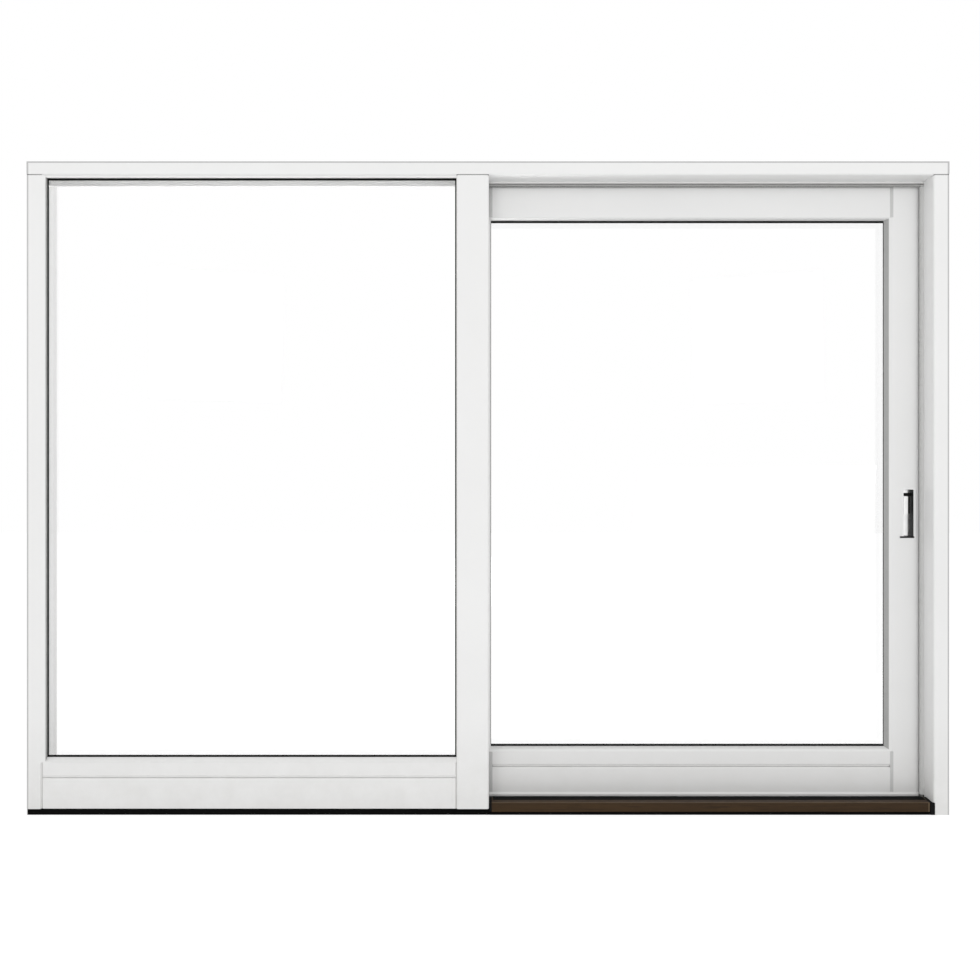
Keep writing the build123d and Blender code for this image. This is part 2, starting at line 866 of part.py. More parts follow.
def sash_bottom_bead():
    """Outside bead like the fixed light's, mitred into the stiles' bevels."""
    low = sash_split + joint_play
    points = [
        (sash_front, low + undercut_height),
        (sash_front + undercut_depth, low),
        (sash_lip_back, low),
        (sash_lip_back, sash_sight_height),
        (sash_front + bevel_shoulder_depth, bottom_edge + bevel_shoulder * bottom_bevel),
        (sash_front, bottom_edge),
    ]
    body = sash_rail_face(points, [], (low - 1, bottom_edge), wall=bead_wall)
    return body - mitre_offcuts(sash_sight_height, bottom_edge)


def drip_bar():
    """Nosing along the foot of the sash that throws water clear of the track."""
    points = [
        (sash_front, sash_bottom),
        (sash_front, sash_bottom + drip_height),
        (sash_front - drip_out, sash_bottom + drip_height / 2),
        (sash_front - drip_out, sash_bottom),
    ]
    section = solid_section(points, [points[2]], corner_radius / 3)
    return crosspiece(section, sash_left + corner_radius, sash_right - corner_radius)


def sash_inner_beads():
    return inner_beads(
        (meeting_pocket, lock_pocket),
        (sash_seat, sash_pocket_top),
        inner_bead_width,
        (sash_glass_back, sash_back),
    )


sash_pane_x = (meeting_pocket + pane_edge_play, lock_pocket - pane_edge_play)
sash_pane_z = (sash_seat, sash_pocket_top - pane_edge_play)


def sash_gasket():
    sight_x = (meeting_sight, lock_sight)
    sight_z = (sash_sight_height, top_sight)
    return gasket(sight_x, sight_z, sash_gasket_side, (sash_lip_back, sash_glass_front))


def sash_interlock():
    """Hook on the meeting stile's outside face."""
    tip = hooks_middle + interlock_overlap / 2
    web = tip - interlock_reach
    points = [
        (tip, sash_hook_front),
        (web, sash_hook_front),
        (web, sash_front - interlock_wall),
        (web - interlock_wall, sash_front - interlock_wall),
        (web - interlock_wall, sash_front),
        (web + interlock_wall, sash_front),
        (web + interlock_wall, sash_hook_back),
        (tip, sash_hook_back),
    ]
    bottom = sash_bottom + drip_height + interlock_end
    return upright(solid_section(points), bottom, sash_face_top - interlock_end)


# Rollers and guides

axle_height = track_height + wheel_play + wheel_radius - wheel_sink
carriage_centres = (sash_left + carriage_inset, sash_right - carriage_inset)
wheel_centres = [c + side * wheel_base / 2 for c in carriage_centres for side in (-1, 1)]


def wheel():
    """Roller turned about its axle; the flanks of its V-groove straddle the track's bead."""
    half = wheel_width / 2
    bead_centre = track_height - track_bead_radius
    # Flanks at 45 degrees that clear a round bead meet this far above its centre.
    groove_floor = axle_height - bead_centre - (track_bead_radius + wheel_play) * sqrt(2)
    groove_half = wheel_radius - groove_floor
    points = [
        (wheel_bore, -half),
        (wheel_radius, -half),
        (wheel_radius, -groove_half),
        (groove_floor, 0),
        (wheel_radius, groove_half),
        (wheel_radius, half),
        (wheel_bore, half),
    ]
    section = Plane.XZ * Polygon(*points, align=None)
    return Rot(90, 0, 0) * revolve(section, Axis.Z)


def roller_wheels():
    one = wheel()
    return Compound([Pos(x, front + sash_middle, axle_height) * one for x in wheel_centres])


def roller_carriages():
    """Two channel-shaped carriages in the bottom rail, each with two axles."""
    channel_top = sash_bottom + roller_channel_height
    half_width = wheel_width / 2 + 1 + carriage_plate
    floor = axle_height - wheel_radius + carriage_floor
    carriages = []
    for centre in carriage_centres:
        x = (centre - carriage_length / 2, centre + carriage_length / 2)
        outside = block(x, (sash_middle - half_width, sash_middle + half_width), (floor, channel_top))
        inside_half = half_width - carriage_plate
        inside_z = (floor - 1, channel_top - carriage_plate)
        inside_x = (x[0] - 1, x[1] + 1)
        inside = block(inside_x, (sash_middle - inside_half, sash_middle + inside_half), inside_z)
        body = outside - inside
        for side in (-1, 1):
            axle = Rot(90, 0, 0) * Cylinder(wheel_bore - 0.05, 2 * half_width - carriage_plate)
            body += Pos(centre + side * wheel_base / 2, front + sash_middle, axle_height) * axle
        carriages.append(body)
    return Compound(carriages)


def top_guides():
    """Nylon blocks in the top groove, slotted over the head's guide fin."""
    half = guide_groove_width / 2
    slot_half = guide_fin / 2 + guide_play
    floor = sash_top - guide_groove_depth
    blocks = []
    for x_low in (meeting_pocket + guide_inset, lock_pocket - guide_inset - guide_block_length):
        x = (x_low, x_low + guide_block_length)
        body = block(x, (sash_middle - half, sash_middle + half), (floor, sash_top))
        slot_x = (x[0] - 1, x[1] + 1)
        slot_z = (inner_soffit - guide_drop - guide_clearance, sash_top + 1)
        blocks.append(body - block(slot_x, (sash_middle - slot_half, sash_middle + slot_half), slot_z))
    return Compound(blocks)


# Handle and lock

pull_x = sash_right - pull_from_lock_edge


def pull_outline(width, height):
    """A rounded upright oblong, drawn in X and height round the pull's middle."""
    corner = max(pull_corner - (pull_width - width) / 2, least_corner)
    return Pos(pull_x, pull_height_above_floor) * RectangleRounded(width, height, corner)


def front_extrude(sketch, near, far):
    """Extrudes a sketch drawn in X and height from one depth to another."""
    plane = Plane(origin=(0, front + near, 0), x_dir=(1, 0, 0), z_dir=(0, -1, 0))
    return extrude(plane * sketch, far - near, dir=(0, 1, 0))


cup_width = pull_width - 2 * pull_border
cup_height = pull_height - 2 * pull_border
tray_width = cup_width - 2 * cup_wall
tray_height = cup_height - 2 * cup_wall


def pull_plate():
    plate = pull_outline(pull_width, pull_height) - pull_outline(tray_width, tray_height)
    body = front_extrude(plate, sash_front - pull_proud, sash_front)
    face = body.faces().sort_by(Axis.Y)[0]
    return chamfer(face.outer_wire().edges(), pull_proud / 2)


def pull_cup():
    """Deep tray let into the stile, which the fingers reach into."""
    outside = pull_outline(cup_width - fit_play, cup_height - fit_play)
    body = front_extrude(outside, sash_front, sash_front + cup_depth + cup_wall)
    inside = pull_outline(tray_width, tray_height)
    return body - front_extrude(inside, sash_front - 1, sash_front + cup_depth)


def pull_lever():
    """Light insert on the tray's floor: a stop above, a slot, then the lever with its crown."""
    floor = sash_front + cup_depth
    face = floor - insert_thickness
    insert = front_extrude(pull_outline(tray_width - fit_play, tray_height - fit_play), face, floor)
    top = pull_height_above_floor + tray_height / 2
    slot_top = top - insert_top_height
    slot_bottom = slot_top - insert_slot_height
    across = shrunk((pull_x - tray_width / 2, pull_x + tray_width / 2), -1)
    insert -= block(across, (face - 1, floor + 1), (slot_bottom, slot_top))
    crown_top = slot_bottom - least_corner
    half = tray_width / 2 - least_corner
    points = [
        (pull_x - half, face),
        (pull_x - half / 2, face - crown_height),
        (pull_x + half / 2, face - crown_height),
        (pull_x + half, face),
    ]
    section = solid_section(points, points[1:3], crown_height)
    return insert + upright(section, crown_top - crown_length, crown_top)


handle_x = sash_right - handle_from_lock_edge


def inner_handle():
    """Lever on a long backplate inside; the grip points down with the door shut."""
    plan = Pos(handle_x, pull_height_above_floor) * RectangleRounded(
        handle_plate_width, handle_plate_height, pull_corner
    )
    plate = front_extrude(plan, sash_back, sash_back + handle_plate_thickness)
    face = plate.faces().sort_by(Axis.Y)[-1]
    plate = chamfer(face.outer_wire().edges(), handle_edge)
    reach = handle_plate_thickness + grip_stand_off + grip_thickness / 2
    hub_height = pull_height_above_floor + hub_rise
    neck_start = front + sash_back + handle_plate_thickness - 1
    neck = Pos(handle_x, neck_start, hub_height) * Rot(-90, 0, 0) * Cylinder(
        neck_radius, reach - handle_plate_thickness, align=(Align.CENTER, Align.CENTER, Align.MIN)
    )
    grip_middle = hub_height + grip_width / 2 - grip_length / 2
    grip = fillet(Box(grip_width, grip_thickness, grip_length).edges().filter_by(Axis.Z), grip_radius)
    grip = Pos(handle_x, front + sash_back + reach, grip_middle) * grip
    return plate + neck + grip


def lock_faceplate():
    plan = Pos(front + sash_middle, pull_height_above_floor) * RectangleRounded(
        lock_plate_width - 2 * fit_play, lock_plate_height - 2 * fit_play, corner_radius
    )
    slot = Pos(front + sash_middle, pull_height_above_floor) * SlotOverall(*latch_slot, rotation=90)
    plane = Plane(origin=(sash_right, 0, 0), x_dir=(0, 1, 0), z_dir=(1, 0, 0))
    return extrude(plane * (plan - slot), -lock_plate_thickness)


def glass_unit(name, x, z, face):
    """Two panes and the spacer that holds them apart."""
    back = face + unit_thickness
    between = (face + pane_thickness, back - pane_thickness)
    return {
        name + "_glass_outer": block(x, (face, between[0]), z),
        name + "_glass_inner": block(x, (between[1], back), z),
        name + "_glass_spacer": ring(x, z, shrunk(x, spacer_width), shrunk(z, spacer_width), between),
    }


pieces = {
    "head_outer": head_outer(),
    "head_inner": head_inner(),
    "left_jamb_outer": left_jamb_outer(),
    "left_jamb_inner": left_jamb_inner(),
    "right_jamb_outer": right_jamb_outer(),
    "right_jamb_inner": right_jamb_inner(),
    "thermal_breaks": thermal_breaks(),
    "doorway_head_cover": doorway_head_cover(),
    "mullion": mullion(),
    "mullion_interlock": mullion_interlock(),
    "fixed_bottom_rail": fixed_bottom_rail(),
    "fixed_bottom_bead": fixed_bottom_bead(),
    "fixed_inner_beads": fixed_inner_beads(),
    "fixed_gasket": fixed_gasket(),
    "sill": sill(),
    "threshold_tread": threshold_tread(),
    "threshold_end_caps": threshold_end_caps(),
    "inner_tread": inner_tread(),
    "running_rail": running_rail(),
    "head_guide": head_guide(),
    "doorway_seals": doorway_seals(),
    "strike_plate": strike_plate(),
    "lock_stile": lock_stile(),
    "meeting_stile": meeting_stile(),
    "sash_top_rail": sash_top_rail(),
    "sash_bottom_rail": sash_bottom_rail(),
    "sash_bottom_bead": sash_bottom_bead(),
    "drip_bar": drip_bar(),
    "sash_inner_beads": sash_inner_beads(),
    "sash_gasket": sash_gasket(),
    "sash_interlock": sash_interlock(),
    "roller_carriages": roller_carriages(),
    "roller_wheels": roller_wheels(),
    "top_guides": top_guides(),
    "pull_plate": pull_plate(),
    "pull_cup": pull_cup(),
    "pull_lever": pull_lever(),
    "inner_handle": inner_handle(),
    "lock_faceplate": lock_faceplate(),
    **glass_unit("fixed", fixed_pane_x, fixed_pane_z, glass_front),
    **glass_unit("sash", sash_pane_x, sash_pane_z, sash_glass_front),
}

os.makedirs("parts", exist_ok=True)
for name, piece in pieces.items():
    export_step(piece, f"parts/{name}.step")

buffer_face = inner_left + buffer_length
print("sash travel", sash_left - buffer_face - open_gap)
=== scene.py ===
import json
import math

import bmesh
import bpy
from mathutils import Matrix, Vector


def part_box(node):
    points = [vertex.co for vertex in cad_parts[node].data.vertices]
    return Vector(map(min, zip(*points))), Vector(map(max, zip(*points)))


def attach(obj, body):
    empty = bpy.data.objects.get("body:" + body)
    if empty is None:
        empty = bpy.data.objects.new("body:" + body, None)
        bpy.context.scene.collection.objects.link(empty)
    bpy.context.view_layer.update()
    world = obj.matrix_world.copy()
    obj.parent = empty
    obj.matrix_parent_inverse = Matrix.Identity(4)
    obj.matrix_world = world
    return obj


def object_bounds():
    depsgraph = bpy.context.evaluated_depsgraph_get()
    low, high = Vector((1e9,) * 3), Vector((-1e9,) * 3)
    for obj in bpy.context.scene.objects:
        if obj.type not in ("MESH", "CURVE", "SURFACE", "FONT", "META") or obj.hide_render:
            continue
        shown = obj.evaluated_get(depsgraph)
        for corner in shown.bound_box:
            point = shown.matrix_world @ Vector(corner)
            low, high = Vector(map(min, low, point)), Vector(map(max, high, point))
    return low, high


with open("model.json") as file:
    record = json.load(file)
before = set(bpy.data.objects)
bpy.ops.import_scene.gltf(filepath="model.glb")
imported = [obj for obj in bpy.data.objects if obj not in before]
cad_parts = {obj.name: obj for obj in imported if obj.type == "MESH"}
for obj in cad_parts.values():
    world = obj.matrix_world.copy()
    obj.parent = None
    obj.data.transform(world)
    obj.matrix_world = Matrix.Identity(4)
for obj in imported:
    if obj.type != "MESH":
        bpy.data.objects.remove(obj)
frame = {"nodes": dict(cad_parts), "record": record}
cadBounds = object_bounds()
nodes = frame["nodes"]
scene = bpy.context.scene
scene.view_settings.view_transform = "Standard"
print("stage: frame loaded")

# Camera: square on to the door from outside, a little over a metre up
cameraSettings = {
    "across": 0.0064,  # metres right of the door's middle
    "distance": 3.100,  # metres in front of the outside face
    "height": 1.0387,
    "focalPixels": 970.0,  # focal length in pixels of the square picture
    "pictureSide": 980.0,
    "sensorWidth": 36.0,
}


def makeCamera():
    outsideFace = cadBounds[0].y
    camera = bpy.data.objects.new("camera", bpy.data.cameras.new("camera"))
    camera.location = (
        cameraSettings["across"],
        outsideFace - cameraSettings["distance"],
        cameraSettings["height"],
    )
    camera.rotation_euler = (math.radians(90), 0, 0)
    sensor = cameraSettings["sensorWidth"]
    camera.data.sensor_width = sensor
    camera.data.lens = sensor * cameraSettings["focalPixels"] / cameraSettings["pictureSide"]
    scene.collection.objects.link(camera)
    scene.camera = camera


makeCamera()
print("stage: camera")


# Small helpers for node trees
def newMaterial(name):
    material = bpy.data.materials.new(name)
    material.use_nodes = True
    tree = material.node_tree
    tree.nodes.clear()
    output = tree.nodes.new("ShaderNodeOutputMaterial")
    return material, tree, output


def addNode(tree, kind, inputs=None, **settings):
    made = tree.nodes.new(kind)
    for name, value in settings.items():
        setattr(made, name, value)
    for name, value in (inputs or {}).items():
        if isinstance(value, bpy.types.NodeSocket):
            tree.links.new(value, made.inputs[name])
        else:
            made.inputs[name].default_value = value
    return made


def computed(tree, operation, first, second=0.0):
    return addNode(tree, "ShaderNodeMath", {0: first, 1: second}, operation=operation).outputs[0]


def coordinates(tree, point):
    return addNode(tree, "ShaderNodeSeparateXYZ", {"Vector": point}).outputs


def objectPoint(tree, stretch=(1, 1, 1)):
    place = addNode(tree, "ShaderNodeTexCoord").outputs["Object"]
    return addNode(tree, "ShaderNodeMapping", {"Vector": place, "Scale": stretch}).outputs["Vector"]


def noiseValue(tree, point, scale, detail=2.0, roughness=0.5):
    sockets = {"Vector": point, "Scale": scale, "Detail": detail, "Roughness": roughness}
    return addNode(tree, "ShaderNodeTexNoise", sockets).outputs["Fac"]


def ranged(tree, value, low, high, fromLow=0.3, fromHigh=0.7):
    sockets = {"Value": value, "From Min": fromLow, "From Max": fromHigh, "To Min": low, "To Max": high}
    return addNode(tree, "ShaderNodeMapRange", sockets).outputs["Result"]


def blended(tree, share, first, second):
    mix = addNode(tree, "ShaderNodeMix", {"Factor": share}, data_type="RGBA")
    for place, colour in ((6, first), (7, second)):
        if isinstance(colour, bpy.types.NodeSocket):
            tree.links.new(colour, mix.inputs[place])
        else:
            mix.inputs[place].default_value = (*colour, 1)
    return mix.outputs[2]


def bumped(tree, height, distance):
    return addNode(tree, "ShaderNodeBump", {"Height": height, "Distance": distance}).outputs["Normal"]


def coated(material, tree, output, sockets):
    shader = addNode(tree, "ShaderNodeBsdfPrincipled", sockets)
    tree.links.new(shader.outputs["BSDF"], output.inputs["Surface"])
    return material


# White powder coat: fine orange peel, a slow drift in tone, a satin sheen, darker patches near the floor that
# are dust and painted shade, and painted shade on the frame's outer front edge
powderCoat = {
    "frameTone": (0.885, 0.885, 0.88),
    # the sash's tone is darker than the frame's: painted shade of the sash set back in the frame
    "shadedSashTone": (0.83, 0.83, 0.825),
    "drift": 0.975,  # the darkest patches, as a share of the tone
    # darker patches near the floor: dust and painted shade of the light falling off low down
    "dustAndShade": (0.77, 0.766, 0.752),
    "dustAndShadeHeight": 0.3,  # metres above the floor where the dust and painted shade fade out
    "dustAndShadeShare": (0.4, 1.0),  # from patch to patch
    "edge": (0.53, 0.53, 0.53),  # painted shade on the frame's outer front corner
    "edgeWidth": 0.0058,
    "edgeBlur": 0.0006,
    "edgeDepth": (0.006, 0.009),  # metres behind the front face where the painted edge shade ends
    "driftScale": 2.2,
    "dustAndShadeScale": 14.0,
    "peelScale": 900.0,
    "peelDepth": 0.00002,
    "sheenScale": 35.0,
    "roughness": (0.34, 0.42),
}


def outerCornerShade(tree, point):
    # 1 on the front few millimetres of the frame's outer edges, 0 elsewhere; the painted edge shade goes
    # there
    parts = coordinates(tree, point)
    outward = computed(tree, "ABSOLUTE", parts["X"])
    fromSide = computed(tree, "SUBTRACT", cadBounds[1].x, outward)
    fromTop = computed(tree, "SUBTRACT", cadBounds[1].z, parts["Z"])
    nearest = computed(tree, "MINIMUM", fromSide, fromTop)
    width, blur = powderCoat["edgeWidth"], powderCoat["edgeBlur"]
    border = ranged(tree, nearest, 1.0, 0.0, width - blur, width + blur)
    frontFace = cadBounds[0].y
    near, far = powderCoat["edgeDepth"]
    front = ranged(tree, parts["Y"], 1.0, 0.0, frontFace + near, frontFace + far)
    return computed(tree, "MULTIPLY", border, front)


def makePowderCoat(name, tone):
    material, tree, output = newMaterial(name)
    point = objectPoint(tree)
    drift = ranged(tree, noiseValue(tree, point, powderCoat["driftScale"], 3.0), 0.0, 1.0)
    colour = blended(tree, drift, tone, tuple(part * powderCoat["drift"] for part in tone))
    # towards the floor the coat turns darker in patches: dust and painted shade
    low = ranged(tree, coordinates(tree, point)["Z"], 1.0, 0.0, 0.0, powderCoat["dustAndShadeHeight"])
    cloud = noiseValue(tree, point, powderCoat["dustAndShadeScale"], 5.0, 0.65)
    patches = ranged(tree, cloud, *powderCoat["dustAndShadeShare"])
    colour = blended(tree, computed(tree, "MULTIPLY", low, patches), colour, powderCoat["dustAndShade"])
    # painted shade along the frame's outer front edges, darker where the rounded edge turns from the light
    colour = blended(tree, outerCornerShade(tree, point), colour, powderCoat["edge"])
    peel = noiseValue(tree, point, powderCoat["peelScale"], 2.0, 0.6)
    sheen = noiseValue(tree, point, powderCoat["sheenScale"], 3.0)
    return coated(material, tree, output, {
        "Base Color": colour,
        "Roughness": ranged(tree, sheen, *powderCoat["roughness"]),
        "Normal": bumped(tree, peel, powderCoat["peelDepth"]),
    })


# Clear float glass, which lets the lamps' light through
glassSettings = {"tint": (1.0, 1.0, 1.0), "ior": 1.5, "waveScale": 3.0, "waveDepth": 0.00001}


def makeGlass():
    material, tree, output = newMaterial("floatGlass")
    wave = noiseValue(tree, objectPoint(tree), glassSettings["waveScale"], 1.0)
    shader = addNode(tree, "ShaderNodeBsdfPrincipled", {
        "Base Color": (*glassSettings["tint"], 1),
        "Roughness": 0.0,
        "IOR": glassSettings["ior"],
        "Transmission Weight": 1.0,
        "Normal": bumped(tree, wave, glassSettings["waveDepth"]),
    })
    clear = addNode(tree, "ShaderNodeBsdfTransparent", {"Color": (*glassSettings["tint"], 1)})
    path = addNode(tree, "ShaderNodeLightPath").outputs
    either = computed(tree, "MAXIMUM", path["Is Shadow Ray"], path["Is Diffuse Ray"])
    sockets = {"Fac": either, 1: shader.outputs["BSDF"], 2: clear.outputs["BSDF"]}
    mix = addNode(tree, "ShaderNodeMixShader", sockets)
    tree.links.new(mix.outputs[0], output.inputs["Surface"])
    return material


def makePlain(name, tone, other, scale, roughness, depth, metallic=0.0, specular=0.5, stretch=(1, 1, 1)):
    material, tree, output = newMaterial(name)
    grain = noiseValue(tree, objectPoint(tree, stretch), scale, 4.0, 0.6)
    return coated(material, tree, output, {
        "Base Color": blended(tree, ranged(tree, grain, 0.0, 1.0), tone, other),
        "Roughness": ranged(tree, grain, *roughness),
        "Metallic": metallic,
        "Specular IOR Level": specular,
        "Normal": bumped(tree, grain, depth),
    })


# Oiled hardwood: long grain along the tread, dark pores and a painted highlight on the front top edge and the
# right end
hardwood = {
    "heart": (0.030, 0.0155, 0.0055),
    "pale": (0.050, 0.0275, 0.0105),
    "pore": (0.010, 0.005, 0.002),
    "grainStretch": (1.6, 40.0, 40.0),
    "poreStretch": (9.0, 420.0, 420.0),
    "grainRange": (0.35, 0.65),
    "poreRange": (0.56, 0.7),
    "poreShare": 0.8,
    "poreDepth": 0.0002,
    "arrisHighlight": (0.115, 0.082, 0.05),
    "arrisHighlightShare": 0.75,
    "arrisHighlightLine": 0.0012,  # width of the painted highlight line on the front edge
    "frontHeight": 0.0385,
    "arrisHighlightEnd": (1.4085, 1.4095),  # where the painted highlight on the right end starts
    "arrisHighlightFront": (-0.0885, -0.0865),  # depth where the painted highlight ends
    "roughness": (0.42, 0.58),
    "specular": 0.16,
}


def makeHardwood():
    material, tree, output = newMaterial("oiledHardwood")
    grainPoint = objectPoint(tree, hardwood["grainStretch"])
    bands = noiseValue(tree, grainPoint, 1.0, 6.0, 0.62)
    grain = ranged(tree, bands, 0.0, 1.0, *hardwood["grainRange"])
    colour = blended(tree, grain, hardwood["heart"], hardwood["pale"])
    pores = noiseValue(tree, objectPoint(tree, hardwood["poreStretch"]), 1.0, 3.0, 0.5)
    dark = ranged(tree, pores, 0.0, hardwood["poreShare"], *hardwood["poreRange"])
    colour = blended(tree, dark, colour, hardwood["pore"])
    parts = coordinates(tree, objectPoint(tree))
    # a paler line along the front top edge and on the right end: painted highlight
    gap = computed(tree, "ABSOLUTE", computed(tree, "SUBTRACT", hardwood["frontHeight"], parts["Z"]))
    width = hardwood["arrisHighlightLine"]
    edge = ranged(tree, gap, hardwood["arrisHighlightShare"], 0.0, width * 0.6, width * 1.4)
    end = ranged(tree, parts["X"], 0.0, 1.0, *hardwood["arrisHighlightEnd"])
    front = ranged(tree, parts["Y"], 1.0, 0.0, *hardwood["arrisHighlightFront"])
    arrisHighlightMask = computed(tree, "MULTIPLY", computed(tree, "MAXIMUM", edge, end), front)
    dents = ranged(tree, pores, 1.0, 0.0, *hardwood["poreRange"])
    return coated(material, tree, output, {
        "Base Color": blended(tree, arrisHighlightMask, colour, hardwood["arrisHighlight"]),
        "Roughness": ranged(tree, bands, *hardwood["roughness"]),
        "Specular IOR Level": hardwood["specular"],
        "Normal": bumped(tree, dents, hardwood["poreDepth"]),
    })


# Brush seal: pale beside the doorway; over it a darker grey flap that is painted shade, a dark band that is
# the painted shade of a groove, and a pale carrier
sealFinish = {
    "pale": (0.7, 0.7, 0.69),
    "shadedFlap": (0.52, 0.52, 0.51),
    "carrier": (0.93, 0.93, 0.92),
    "grooveShade": (0.1, 0.1, 0.1),
    "shadedFlapHeight": 2.0295,  # the head seal: flap darkened as painted shade, dark band of painted groove shade, carrier
    "grooveShadeHeight": 2.0374,
    "carrierHeight": 2.0406,
    "change": 0.0004,  # height over which one gives way to the next
    "speck": (0.12, 0.12, 0.12),
    "speckShare": 0.12,
    "speckle": 1500.0,
    "roughness": (0.85, 0.95),
    "specular": 0.2,
    "depth": 0.0002,
}


def makeSealFinish():
    material, tree, output = newMaterial("greySeal")
    point = objectPoint(tree)
    height = coordinates(tree, point)["Z"]
    colour = sealFinish["pale"]
    # over the doorway the seal turns darker: painted shade under the head, and a dark band of painted shade
    # for a groove
    for part in ("shadedFlap", "grooveShade", "carrier"):
        start = sealFinish[part + "Height"]
        reached = ranged(tree, height, 0.0, 1.0, start - sealFinish["change"], start)
        colour = blended(tree, reached, colour, sealFinish[part])
    speckle = noiseValue(tree, point, sealFinish["speckle"], 2.0)
    share = ranged(tree, speckle, 0.0, sealFinish["speckShare"])
    return coated(material, tree, output, {
        "Base Color": blended(tree, share, colour, sealFinish["speck"]),
        "Roughness": ranged(tree, speckle, *sealFinish["roughness"]),
        "Specular IOR Level": sealFinish["specular"],
        "Normal": bumped(tree, speckle, sealFinish["depth"]),
    })


plainFinishes = {
    "black_polyamide": {"name": "blackPolyamide", "tone": (0.02, 0.02, 0.02), "other": (0.03, 0.03, 0.03),
                        "scale": 300.0, "roughness": (0.5, 0.6), "depth": 0.00003},
    "black_rubber": {"name": "blackRubber", "tone": (0.006, 0.006, 0.006), "other": (0.011, 0.011, 0.011),
                     "scale": 400.0, "roughness": (0.65, 0.8), "depth": 0.00003, "specular": 0.06},
    "grey_spacer": {"name": "greySpacer", "tone": (0.45, 0.45, 0.45), "other": (0.5, 0.5, 0.5),
                    "scale": 300.0, "roughness": (0.4, 0.5), "depth": 0.00003},
    "black_sill": {"name": "blackSill", "tone": (0.002, 0.002, 0.002), "other": (0.004, 0.004, 0.004),
                   "scale": 200.0, "roughness": (0.6, 0.75), "depth": 0.00005, "specular": 0.03},
    "bare_aluminium": {"name": "bareAluminium", "tone": (0.7, 0.7, 0.71), "other": (0.6, 0.6, 0.61),
                       "scale": 300.0, "roughness": (0.3, 0.4), "depth": 0.00002, "metallic": 1.0,
                       "stretch": (0.05, 1, 1)},
    "brushed_metal": {"name": "brushedMetal", "tone": (0.6, 0.6, 0.6), "other": (0.5, 0.5, 0.5),
                      "scale": 400.0, "roughness": (0.3, 0.4), "depth": 0.00002, "metallic": 1.0,
                      "stretch": (1, 1, 0.05)},
    # grey for the strips of painted shade at the ends of the sash's rails
    "joint_shade_grey": {"name": "jointShadeGrey", "tone": (0.56, 0.56, 0.555), "other": (0.59, 0.59, 0.585),
                   "scale": 300.0, "roughness": (0.4, 0.5), "depth": 0.00002},
    # grey for the strips of painted shade beside the glass
    "wedge_grey": {"name": "wedgeGrey", "tone": (0.4, 0.4, 0.395), "other": (0.45, 0.45, 0.445),
                   "scale": 260.0, "roughness": (0.6, 0.75), "depth": 0.00003, "specular": 0.2},
    "bright_insert": {"name": "brightInsert", "tone": (0.94, 0.94, 0.935), "other": (0.9, 0.9, 0.895),
                      "scale": 60.0, "roughness": (0.12, 0.2), "depth": 0.00001, "metallic": 1.0},
    "white_nylon": {"name": "whiteNylon", "tone": (0.75, 0.75, 0.73), "other": (0.7, 0.7, 0.68),
                    "scale": 100.0, "roughness": (0.4, 0.5), "depth": 0.00002},
    "black_cup": {"name": "blackCup", "tone": (0.004, 0.004, 0.004), "other": (0.007, 0.007, 0.007),
                  "scale": 200.0, "roughness": (0.5, 0.6), "depth": 0.00002, "specular": 0.15},
}
finishes = {slot: makePlain(**settings) for slot, settings in plainFinishes.items()}
finishes["white_coat"] = makePowderCoat("whitePowderCoat", powderCoat["frameTone"])
shadedSashCoat = makePowderCoat("sashPowderCoatPaintedShade", powderCoat["shadedSashTone"])
finishes["clear_glass"] = makeGlass()
finishes["oiled_hardwood"] = makeHardwood()
finishes["grey_seal"] = makeSealFinish()

sashNodes = frame["record"]["behaviour"]["bodies"]["sash"]
for entry in frame["record"]["subparts"]:
    finish = finishes[entry["material_slot"]]
    # the sash's white parts take the darker coat, painted shade of the recessed sash
    if entry["node"] in sashNodes and entry["material_slot"] == "white_coat":
        finish = shadedSashCoat
    if entry["node"] == "pull_lever":
        finish = finishes["bright_insert"]
    for holder in nodes[entry["node"]].material_slots:
        holder.material = finish
print("stage: finishes")


# Geometry Nodes helpers: a tree with named sizes, and a piece grown from it as a plain mesh
def newTree(name, sizes):
    tree = bpy.data.node_groups.new(name, "GeometryNodeTree")
    for size in sizes:
        tree.interface.new_socket(size, in_out="INPUT", socket_type="NodeSocketFloat")
    tree.interface.new_socket("finish", in_out="INPUT", socket_type="NodeSocketMaterial")
    tree.interface.new_socket("mesh", in_out="OUTPUT", socket_type="NodeSocketGeometry")
    given = tree.nodes.new("NodeGroupInput")
    return tree, given.outputs


def vectorOf(tree, **parts):
    return addNode(tree, "ShaderNodeCombineXYZ", parts).outputs[0]


def joinedGeometry(tree, *parts):
    both = tree.nodes.new("GeometryNodeJoinGeometry")
    for part in parts:
        tree.links.new(part.outputs[0], both.inputs[0])
    return both.outputs[0]


def closeTree(tree, instances, finish):
    real = addNode(tree, "GeometryNodeRealizeInstances", {"Geometry": instances})
    finished = addNode(tree, "GeometryNodeSetMaterial", {"Geometry": real.outputs[0], "Material": finish})
    ending = tree.nodes.new("NodeGroupOutput")
    tree.links.new(finished.outputs[0], ending.inputs[0])


def grownMesh(tree, sizes, finish):
    mesh = bpy.data.meshes.new("seed")
    seed = bpy.data.objects.new("seed", mesh)
    scene.collection.objects.link(seed)
    modifier = seed.modifiers.new("grow", "NODES")
    modifier.node_group = tree
    for item in tree.interface.items_tree:
        if item.in_out == "INPUT":
            modifier[item.identifier] = finish if item.name == "finish" else sizes[item.name]
    bpy.context.view_layer.update()
    result = bpy.data.meshes.new_from_object(seed.evaluated_get(bpy.context.evaluated_depsgraph_get()))
    seed.modifiers.remove(modifier)
    bpy.data.objects.remove(seed)
    return result


def builtMesh(built, name):
    mesh = bpy.data.meshes.new(name)
    built.to_mesh(mesh)
    built.free()
    return mesh


